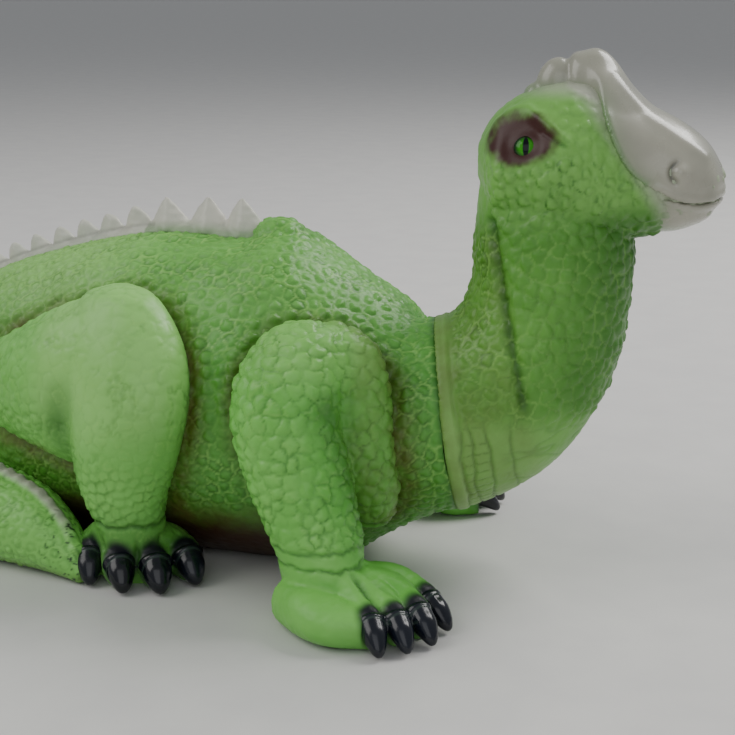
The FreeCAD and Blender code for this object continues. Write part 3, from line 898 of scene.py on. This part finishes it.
def carve_trunk(surface, legs):
    paint = surface.paint
    x, y, z = surface.v.T
    axial = (RING - surface.v) @ AXIS
    near = np.minimum.reduce([surface.near(leg) for leg in legs])
    cells = surface.cells(6.7 - 1.0 * ease(-60, -150, x), 21)
    height = pebbled(surface, cells)
    beads = bump(near - 7.0, 4.0) * ease(60, 90, z)
    height += beads * 1.4 * np.sqrt(np.clip(1 - (cells.first / 3.3) ** 2, 0, 1))
    skirt = ease(46, 24, z) * ease(42, 12, x)
    height *= 1 - 0.8 * skirt
    height *= ease(1.0, 4.0, axial) * ease(1.5, 5, z)
    crease = bump(near, 4.5)
    height -= 1.6 * crease
    height += 1.2 * noise(surface.v, 38, 5, 2) * ease(40, 60, z) * ease(10, 30, np.abs(y))
    surface.push(height)
    paint["groove_shade"] *= 1 - 0.7 * skirt
    # painted shade in the gap at the neck joint
    mark(paint, "groove_shade", 0.9 * bump(axial, 2.2))
    paint["net"] *= 1 - 0.8 * skirt
    paint["brown"] = np.clip(0.95 * bump(near, 7.5) + 0.9 * ease(46, 26, z) * ease(42, 12, x)
                                     + 0.3 * bump(near, 16) * ease(110, 80, z), 0, 1)
    # the belly goes near-black maroon towards the floor: the toy's dark underside, deepened by painted shade under
    # the belly
    paint["maroon"] = (0.95 * ease(38, 18, z + 2.0 * noise(surface.v, 12, 22))
                               * ease(42, 12, x))
    # painted highlight along the top of the trunk, stronger towards the rear
    paint["light"] = ease(100, 140, z) * (0.9 * ease(-40, -110, x) + 0.35)
    # painted shade low on the trunk's flanks, behind the shoulders
    paint["painted_shade"] = 0.3 * ease(70, 40, z) * ease(50, 20, x)


def tail():
    surface = Surface([tube(TAIL)], 1.0, 5)
    paint = blank(surface)
    x, y, z = surface.v.T
    cells = surface.cells(6.2, 31)
    tip = ease(-112, -92, x) * ease(-50, -60, y)
    height = pebbled(surface, cells, 0.9, 0.15, 2.4) * (1 - 0.7 * tip)
    paint["net"] *= 0.3
    specks = ease(0.55, 0.75, noise(surface.v, 3.2, 33))
    paint["black"] = 0.9 * specks * ease(-100, -84, x) * ease(-55, -62, y)
    crest = np.array([(px, py, pz + h) for px, py, pz, _, h in TAIL[2:-1]])
    d, along = line_distance(surface.v, crest)
    scallop = 0.5 + 0.5 * np.cos(along * 2 * math.pi * 30)
    strip = 1 - ease(2.2, 4.2, d)
    height = height * (1 - strip) + strip * (1.0 + 2.6 * scallop * (1 - along * 0.6))
    paint["cream"] = strip * ease(0.98, 0.9, along)
    # the tail is paler all over
    paint["light"] = np.full(len(x), 0.6)
    paint["brown"] = 0.5 * ease(8, 3, z)
    surface.push(height)
    return surface


def neck_and_head():
    surface = Surface(neck_parts() + [skull_part()], 0.95, 7,
                      lambda v: ease(1.5, 4.5, (v - RING) @ AXIS))
    paint = blank(surface)
    v = surface.v
    s, off, z = head_coords(v)
    axial = (v - RING) @ AXIS
    head = ease(168, 182, z - 0.16 * (s - 60))
    cells = surface.cells(6.8 - 0.8 * head, 41)
    view = np.stack([s, z], 1)
    groove_line, _ = line_distance(view, [(19, 172), (21.5, 159), (27, 130), (33, 104), (37, 86)])
    front = ease(-4, 8, (s - 21) - (159 - z) * 0.21)
    rough = pebbled(surface, cells, 0.8, 0.3, 3.0)
    net, ring = paint["net"].copy(), paint["groove_shade"].copy()
    plates = plated(surface, cells, 1.1, 0.9, 0.8)
    lines = paint["groove_shade"].copy()
    height = rough * (1 - front) + plates * front
    shade_in_grooves = ring * (1 - front) + 0.55 * lines * front
    paint_net = net * (1 - 0.4 * front)
    cheek = ease(206, 196, z + 0.1 * (s - 60)) * ease(12, 26, s)
    cheek = np.maximum(cheek, 0.45 * ease(40, 54, s) * ease(233, 222, z))
    size = 2.6 * (0.7 + 0.6 * cells.random[:, 0])
    domes = (0.7 + 1.1 * cells.random[:, 1]) * np.sqrt(np.clip(1 - (cells.first / size) ** 2, 0, 1))
    domes += overlapping(cells, HEAD_X * -0.9 - Z * 0.5, 0.3, 3.0)
    # painted shadow: a dark crescent on the side of each head dome turned away from the light
    shadow = ease(0.0, 1.0, -(cells.offset @ unit(HEAD_X * 0.9 + Z * 0.3)) / 3.0)
    height = height * (1 - head) + head * (domes * (0.15 + 0.85 * cheek))
    crescent = bump(cells.first - size, 0.7) * (0.15 + 0.85 * shadow)
    crescent *= 0.3 + 0.7 * cells.random[:, 2]
    shade_in_grooves = shade_in_grooves * (1 - head) + head * cheek * crescent
    paint_net = paint_net * (1 - head)
    low = ease(92, 77, z)
    calm = ease(7.0, 10.0, axial) * (1 - 0.85 * low)
    height *= calm
    shade_in_grooves *= calm
    paint_net *= calm
    # band at the neck's base, and the folds ahead of it
    height += 0.9 * (1 - ease(5.0, 6.4, axial))
    angle = np.arctan2((v - RING) @ np.cross(AXIS, HEAD_Y), (v - RING) @ HEAD_Y)
    for d, depth in ((6.8, 0.8), (12.0, 0.8), (19.0, 0.8), (30.0, 0.5)):
        fold = bump(axial - d - 1.2 * noise(v, 30, int(d)), 0.8) * np.maximum(low, 0.3 * (d < 10))
        height -= depth * fold
        # painted shade in the neck folds
        shade_in_grooves = np.maximum(shade_in_grooves, 0.5 * fold)
    ticks = np.abs((angle * RING_R / 5.2) % 1.0 - 0.5)
    tick = ease(0.40, 0.47, ticks) * low * ease(7, 8.5, axial) * (1 - ease(18, 21, axial))
    height -= 0.45 * tick
    crease = bump(noise(v * [0.5, 0.5, 1.6], 26, 47), 0.12) * low * ease(22, 30, axial)
    height -= 0.35 * crease
    # painted shade in the ticks and creases of the neck
    shade_in_grooves = np.maximum(shade_in_grooves, np.maximum(0.4 * tick, 0.3 * crease))
    side = ease(8, 16, np.abs(off))
    deep_fold = bump(groove_line + 0.6 * noise(v, 16, 44), 2.2) * side * ease(84, 96, z)
    height -= 2.2 * deep_fold
    # painted shade in the deep fold down the neck's side
    shade_in_grooves = np.maximum(shade_in_grooves, 0.95 * deep_fold)
    # eye sockets
    across, rise = (s - 31.0) / 16.5, (z - 209.0) / 11.5
    socket = np.hypot(across, rise - 0.12 * across)
    beside_eye = ease(10, 16, np.abs(off))
    height = height * (1 - beside_eye * (1 - ease(0.9, 1.25, socket)))
    height -= 3.0 * (1 - ease(0.2, 1.0, socket)) * beside_eye
    eye = np.hypot(s - EYE[0], z - EYE[1])
    height += 0.4 * bump(eye - 6.5, 2.2) * beside_eye
    brow, _ = line_distance(view, [(15, 213), (23, 220), (34, 221.5), (44, 214), (51, 208)])
    height += 1.6 * bump(brow, 2.8) * beside_eye
    slit, along = line_distance(view, [(40, 213.5), (47, 208.5), (53, 205.5)])
    slit = bump(slit, 1.0) * beside_eye * ease(1.0, 0.7, along)
    height -= 1.0 * slit
    # painted shade in the slit behind the eye
    shade_in_grooves = np.maximum(shade_in_grooves, 0.8 * slit)
    spray = socket + 0.08 * noise(v, 8, 46)
    paint["maroon"] = beside_eye * (1 - ease(0.72, 1.14, spray))
    paint["brown"] = np.clip(0.35 * (1 - front) * (1 - head) + 0.25 * bump(axial, 9), 0, 1)
    # painted shade on the neck's front under the jaw and on the lower head
    paint["painted_shade"] = np.clip((0.2 + 0.6 * ease(45, 78, s)) * front * (1 - head) * (1 - 0.8 * low)
                                    + 0.3 * ease(185, 168, z) * head, 0, 1)
    # paler on the head, on the band at the neck's base and low on the neck's back
    paint["light"] = np.clip(0.45 * head + 0.6 * (1 - ease(5, 8, axial))
                                     + 0.7 * low * ease(70, 35, s), 0, 1)
    mouth = ease(78, 92, s) * ease(188, 180, z)
    paint["cream"] = np.clip(0.85 * ease(80, 93, s - 0.7 * (186 - z)) * ease(163, 172, z)
                                     + 0.75 * ease(224, 232, z) * ease(22, 34, s), 0, 1)
    height -= 1.4 * ease(91, 97, s) * ease(190, 184, z)
    paint["groove_shade"] = shade_in_grooves * (1 - mouth)
    paint["net"] = paint_net
    surface.push(height)
    inside = axial < 0.3
    surface.v[inside] += AXIS * (0.3 - axial[inside])[:, None]
    return surface


# Roof between bill and crest: distance ahead, top, half-width. Crest: the same, and half-height
ROOF = [(50, 236, 20), (60, 242, 23), (68, 242, 24), (76, 236, 24), (86, 226, 23),
        (98, 215.5, 20), (108, 209, 14)]
CREST = [(50, 236, 3, 8), (52, 242.5, 8, 14), (57, 246, 11.5, 18), (62.5, 247.8, 13, 22),
         (68.5, 246, 14, 24), (75, 239.5, 15.5, 24), (82, 229.5, 17, 22), (90, 221.5, 17, 18), (97, 216.5, 12, 10)]


def bill_and_crest():
    outline = rounded(BILL + BILL[:1], [0, 1, 5, 8, 9, 10, 11])
    roof = loft([Ring(in_head(rs, 0, top - 26), HEAD_Y, Z, width, 26)
                 for rs, top, width in ROOF], 80)
    bill = intersected([skull_part(1.6, 2.15), roof], prism(outline))
    crest = [Ring(in_head(cs, 0, top - half), HEAD_Y, Z, width, half)
             for cs, top, width, half in CREST]
    lobes = [ball(in_head(47.5, 0, 228), (10.5, 8.5, 15.2), (HEAD_X, HEAD_Y, Z)),
             ball(in_head(38.5, 0, 224.5), (7, 6.5, 7.8), (HEAD_X, HEAD_Y, Z))]
    surface = Surface([bill, loft(crest, 60, 1.2)] + lobes, 0.9, 12)
    paint = blank(surface)
    s, _, z = head_coords(surface.v)
    surface.melt(45, ease(219, 228, z) * (1 - 0.6 * ease(239, 245, z)) * ease(56, 60, s))
    surface.melt(14, ease(219, 228, z) * ease(50, 56, s))
    s, off, z = head_coords(surface.v)
    view = np.stack([s, z], 1)
    edge, _ = line_distance(view, outline[1:28])
    lip = bump(edge, 2.6) * ease(9, 15, np.abs(off)) * ease(234, 226, z)
    mouth, _ = line_distance(view, BILL[5:10])
    height = 0.7 * lip + 0.5 * bump(mouth - 1.5, 1.4)
    ridge, _ = line_distance(view, [(72, 236), (86, 220), (100, 210), (112, 202)])
    height += 0.8 * bump(ridge, 2.4) * ease(6, 12, np.abs(off))
    nostril = np.hypot(s - 100.5, z - 195.5)
    side = ease(8, 14, np.abs(off))
    crescent = bump(nostril - 4.4, 1.1) * ease(0.5, -3.0, s - 100.5) * side
    height += 2.2 * np.exp(-(nostril / 3.4) ** 2) * side - 1.6 * crescent
    # painted shade in the crescent behind the nostril
    paint["groove_shade"] = 0.75 * crescent
    paint["green"] = (0.6 * bump(edge, 1.6) * ease(232, 222, z)
                              + 0.25 * bump(edge, 6) * ease(238, 226, z)
                              + 0.6 * ease(236, 227, z) * (1 - ease(56, 62, s)))
    paint["light"] = ease(-0.2, 0.8, noise(surface.v, 40, 51))
    surface.push(height)
    return surface


def lower_bill():
    rings = []
    for hs, level, width, top, bottom in HEAD:
        grow = -1.6 + 2.0 * float(ease(86, 97, hs))
        rings.append(Ring(in_head(hs, 0, level), HEAD_Y, Z, width + grow, top - level + grow,
                          level - bottom + grow))
    jaw = intersected([loft(rings, 90)], prism(rounded(JAW + JAW[:1], [0, 4, 5, 6, 7, 8])))
    surface = Surface([jaw], 0.9, 6)
    paint = blank(surface)
    s, _, z = head_coords(surface.v)
    lip, _ = line_distance(np.stack([s, z], 1), JAW[:5])
    height = 0.5 * bump(lip - 1.5, 1.6) - 0.5 * bump(lip - 5.0, 2.2)
    # the green fade towards the back of the jaw is the toy's paint; the extra green low on the jaw is painted
    # shade
    paint["green"] = np.clip(ease(100, 86, s) + 0.5 * ease(172, 166, z), 0, 1)
    surface.push(height)
    return surface


def back_at(x):
    """Height of the back at x, and its slope."""
    return float(trunk_top(x)[0]), float(trunk_top(x + 0.5)[0] - trunk_top(x - 0.5)[0])


def back_ridge():
    xs = np.array([-6, -9, -14] + [x for x, _, _ in SPIKES[1:]] + [-204.0])
    parts, rings = [], []
    for x in xs:
        top, slope = back_at(x)
        ahead = unit([1, 0, slope])
        up = np.cross(ahead, Y) * -1
        up = up if up[2] > 0 else -up
        width = np.interp(-x, [6, 12, 18, 60, 90, 150, 204], [1.2, 5, 8.0, 8.0, 6.6, 5.0, 2.6])
        rings.append(Ring(np.array([x, 0, top]) - up * 1.0, Y, up, width, 2.2 * width / 6 + 1.2, 4))
    parts.append(loft(rings[::-1], 40, 1.2))
    for i, (x, rise, half) in enumerate(SPIKES):
        top, slope = back_at(x)
        ahead = unit([1, 0, slope])
        up = unit([-slope, 0, 1])
        foot = np.array([x, 0, top])
        rings = []
        for t in np.linspace(0, 1, 7):
            if i < 3:
                length, thick, power = (half + 3.6) * (1 - t) ** 0.74, 9.0 * (1 - t) ** 0.8, 1.4
            else:
                length = (half + 1.5) * math.sqrt(max(1 - t ** 1.6, 0.01)) * (1 - 0.25 * t)
                thick, power = 4.8 * (1 - 0.7 * t), 1.8
            centre = foot + up * (rise * t - 0.5) - ahead * 1.5 * t
            rings.append(Ring(centre, Y, ahead, max(thick, 0.7), max(length, 0.7)))
        parts.append(loft(rings, 40, 1.0, power))
    surface = Surface(parts, 0.85, 3)
    paint = blank(surface)
    x, _, z = surface.v.T
    over = z - trunk_top(x)
    paint["green"] = 0.55 * ease(6.0, 0.5, over) * (x > -75) + 0.25 * ease(3, 0, over)
    # painted shade in a line about 3 mm above the back along the smaller spikes
    paint["groove_shade"] = 0.35 * bump(over - 3.0, 0.9) * (x < -70)
    surface.push(0.25 * noise(surface.v, 8, 61))
    return surface


# Sections of a claw: how far along, and its width and thickness against the widest
CLAW = [(-0.08, 0.6, 0.6), (0.0, 0.98, 1.04), (0.25, 1.0, 1.02), (0.5, 0.9, 0.86),
        (0.75, 0.68, 0.62), (0.92, 0.42, 0.4), (1.0, 0.2, 0.2)]


def claws(foot):
    parts = []
    for claw in foot["claws"]:
        root, tip, ahead, half = claw_line(foot, claw)
        slope = unit(tip - root)
        across = np.array([-ahead[1], ahead[0], 0])
        up = np.cross(slope, across)
        rings = []
        for t, wide, thick in CLAW:
            centre = root + (tip - root) * t + up * 1.8 * math.sin(math.pi * min(max(t, 0), 1))
            rings.append(Ring(centre, across, up, half * wide, half * thick))
        parts.append(loft(rings, 44, 0.9, 2.2))
    return parts


def claw_surface(foot):
    surface = Surface(claws(foot), 0.7, 5)
    paint = blank(surface)
    height = np.zeros(len(surface.v))
    ring = np.zeros(len(surface.v))
    for claw in foot["claws"]:
        root, tip, ahead, half = claw_line(foot, claw)
        slope = unit(tip - root)
        along = (surface.v - root) @ slope
        away = (surface.v - root) - np.outer(along, slope)
        own = np.linalg.norm(away, axis=1) < half * 1.5
        arc = bump(along - 3.4 - 0.05 * ((surface.v - root) @ np.cross(ahead, Z)) ** 2, 0.6) * own
        height -= 0.25 * arc
        ring = np.maximum(ring, arc * (surface.v[:, 2] > 6))
    # a faint paler line along the cuticle step on top of each claw
    paint["light"] = ring
    surface.push(height)
    return surface


def eye(side):
    """Glossy button eye: a dome with a slit pupil, set in the socket and looking a little up."""
    low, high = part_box("eye_lens_right" if side < 0 else "eye_lens_left")
    centre = (np.array(low) + np.array(high)) / 2 / MM - [SHIFT_X, 0, 0]
    tilt = math.radians(EYE_TILT)
    outward = HEAD_Y * side * math.cos(tilt) + Z * math.sin(tilt)
    up = Z * math.cos(tilt) - HEAD_Y * side * math.sin(tilt)
    face = centre - outward * 3.6
    n, m, radius = 26, 64, 5.5
    v, faces, pupil, iris = [], [], [], []
    for i in range(n + 1):
        t = i / n * 1.25
        r, rise = radius * math.sin(min(t, 1.57)), radius * (math.cos(t) - 1) * 0.72
        for j in range(m):
            a = 2 * math.pi * j / m
            u, w = r * math.cos(a), r * math.sin(a)
            v.append(face + outward * rise + HEAD_X * u + up * w)
            slit = 1.35 * math.sqrt(max(1 - (w / 4.4) ** 2, 0.001))
            pupil.append(float(ease(1.15, 0.85, abs(u) / slit)))
            iris.append(r / radius)
    for i in range(n):
        for j in range(m):
            k = (j + 1) % m
            faces.append((i * m + j, (i + 1) * m + j, (i + 1) * m + k, i * m + k))
    v = np.array(v)
    mesh = bpy.data.meshes.new(f"eye_{'right' if side < 0 else 'left'}_button")
    mesh.from_pydata(((v + [SHIFT_X, 0, 0]) * MM).tolist(), [], faces)
    write_values(mesh, {"pupil": pupil, "iris": iris})
    mesh.shade_smooth()
    return linked(mesh.name, mesh)


# ---------------------------------------------------------------- pieces

trunk_skin = trunk()
right_fore, right_hind = foreleg(101), hind_leg(102)


def to_left(surface, back):
    """Turns a right leg into a left one."""
    surface.v = surface.v * [1, -1, 1] - [back, 0, 0]
    surface.quads = surface.quads[:, ::-1]
    return surface


left_fore, left_hind = to_left(foreleg(103), FAR_BACK), to_left(hind_leg(104), 0.0)
legs = {"foreleg_right": right_fore, "foreleg_left": left_fore,
        "hind_leg_right": right_hind, "hind_leg_left": left_hind}
carve_trunk(trunk_skin, list(legs.values()))

trunk_vinyl = vinyl("trunk_vinyl", (0.07, 0.29, 0.03), (0.12, 0.40, 0.06))
leg_vinyl = vinyl("leg_vinyl", (0.11, 0.42, 0.05), (0.19, 0.56, 0.10))
neck_vinyl = vinyl("neck_vinyl", (0.09, 0.29, 0.03), (0.14, 0.39, 0.055))
tail_vinyl = vinyl("tail_vinyl", (0.13, 0.46, 0.06), (0.21, 0.60, 0.12))


def cream_vinyl(name, low, high, rough, coat):
    p = Paint(name, (low, high), 0.3, 0.5, coat)
    p.layer("green", (0.10, 0.25, 0.06), 0.9)
    # near-black painted shade in grooves and round the nostril
    p.layer("groove_shade", (0.03, 0.04, 0.025), 0.9)
    p.grain(700.0, 0.05)
    p.wear(*rough)
    return p.done()


bill_cream = cream_vinyl("bill_cream", (0.30, 0.30, 0.24), (0.38, 0.37, 0.30), (0.22, 0.34), 0.3)
ridge_cream = cream_vinyl("ridge_cream", (0.48, 0.50, 0.42), (0.60, 0.58, 0.50), (0.35, 0.5), 0.0)


def claw_paint():
    p = Paint("claw_black", ((0.002, 0.003, 0.006), (0.007, 0.01, 0.018)), 0.22, 0.4, 0.2)
    # a faint paler line on the cuticle step
    p.layer("light", (0.03, 0.05, 0.04), 0.8)
    p.grain(500.0, 0.05)
    p.wear(0.16, 0.3)
    return p.done()


def eye_paint():
    p = Paint("eye_button", ((0.02, 0.20, 0.008), (0.05, 0.34, 0.012)), 0.16, 0.25, 0.0)
    rim = p.ramp(p.value("iris"), 0.55, 0.85)
    p.colour = p.mix(rim, p.colour, (0.004, 0.02, 0.003))
    p.layer("pupil", (0.002, 0.003, 0.006), 1.0)
    return p.done()


claw_black, eye_button = claw_paint(), eye_paint()

trunk_skin.object("trunk_cover", "body", trunk_vinyl, ["trunk_skin", "trunk_stuffing"],
                  "trunk_vinyl", STUFFED)
for name, surface in legs.items():
    surface.object(f"{name}_cover", "body", leg_vinyl, [f"{name}_skin", f"{name}_stuffing"],
                   "leg_vinyl", STUFFED)
    nails = claw_surface(FORE_FOOT if "fore" in name else HIND_FOOT)
    if "left" in name:
        nails = to_left(nails, FAR_BACK if "fore" in name else 0.0)
    nails.object(f"{name}_nails", "body", claw_black, [f"{name}_claws"], "claw_black")
tail().object("tail_cover", "body", tail_vinyl, ["tail_skin", "tail_stuffing"],
              "tail_vinyl", STUFFED)
back_ridge().object("back_ridge_spikes", "body", ridge_cream, ["back_ridge"], "ridge_cream")
neck_and_head().object("head_and_neck_cover", "head_and_neck", neck_vinyl,
                       ["head_and_neck_skin", "head_and_neck_stuffing"], "neck_vinyl", STUFFED)
bill_and_crest().object("bill_and_crest_cover", "head_and_neck", bill_cream,
                        ["bill_and_crest"], "bill_cream")
lower_bill().object("lower_bill_cover", "head_and_neck", bill_cream, ["lower_bill"], "bill_cream")
for side, word in ((-1, "right"), (1, "left")):
    button = eye(side)
    button.data.materials.append(eye_button)
    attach(button, "head_and_neck")
    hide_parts(f"eye_{word}", f"eye_lens_{word}", f"eye_washer_{word}")

plug_brown = Paint("belly_plug_vinyl", ((0.05, 0.02, 0.012), (0.09, 0.04, 0.02)), 0.5)
plug_brown.grain(300.0, 0.15)
plug_mesh = frame["nodes"]["filling_hole_plug"].data
plug_mesh.materials.clear()
plug_mesh.materials.append(plug_brown.done())


# ---------------------------------------------------------------- floor, lights, camera

FLOOR_REACH = 60
TARGET = (0.0, 0.0, 0.1)
# Lights: name, place in metres, size, watts, colour
LIGHTS = [
    ("window", (1.0, 1.1, 1.7), 1.2, 40.0, (1.0, 0.99, 0.97)),
    ("room", (-1.3, -1.0, 1.6), 1.6, 22.0, (1.0, 0.98, 0.95)),
    ("front", (0.7, -1.6, 0.9), 1.4, 6.0, (0.97, 0.98, 1.0)),
]
SKY, SKY_STRENGTH = (0.75, 0.78, 0.82, 1), 0.42
CAMERA = (283.6, -670.7, 280.0)    # millimetres, in design axes
CAMERA_TILT, CAMERA_TURN = 75.5, 20.0
SENSOR, LENS = 36.0, 75.0


def stage():
    mesh = bpy.data.meshes.new("floor")
    r = FLOOR_REACH
    mesh.from_pydata([(-r, -r, 0), (r, -r, 0), (r, r, 0), (-r, r, 0)], [], [(0, 1, 2, 3)])
    floor = linked("floor", mesh)
    paint = Paint("floor_pale", ((0.62, 0.61, 0.595), (0.65, 0.64, 0.62)), 0.7, 0.2)
    paint.grain(40.0, 0.05)
    mesh.materials.append(paint.done())


def area_light(name, place, size, power, colour):
    light = bpy.data.lights.new(name, "AREA")
    light.size = size
    light.energy = power
    light.color = colour
    obj = linked(name, light)
    obj.location = place
    obj.rotation_euler = (Vector(TARGET) - Vector(place)).to_track_quat("-Z", "Y").to_euler()


stage()
for light in LIGHTS:
    area_light(*light)
world = bpy.data.worlds.new("studio")
world.use_nodes = True
background = world.node_tree.nodes["Background"].inputs
background["Color"].default_value = SKY
background["Strength"].default_value = SKY_STRENGTH
bpy.context.scene.world = world

camera = bpy.data.cameras.new("camera")
camera.sensor_width = SENSOR
camera.lens = LENS
eye_point = linked("camera", camera)
eye_point.location = ((CAMERA[0] + SHIFT_X) * MM, CAMERA[1] * MM, CAMERA[2] * MM)
eye_point.rotation_euler = (math.radians(CAMERA_TILT), 0, math.radians(CAMERA_TURN))
bpy.context.scene.camera = eye_point
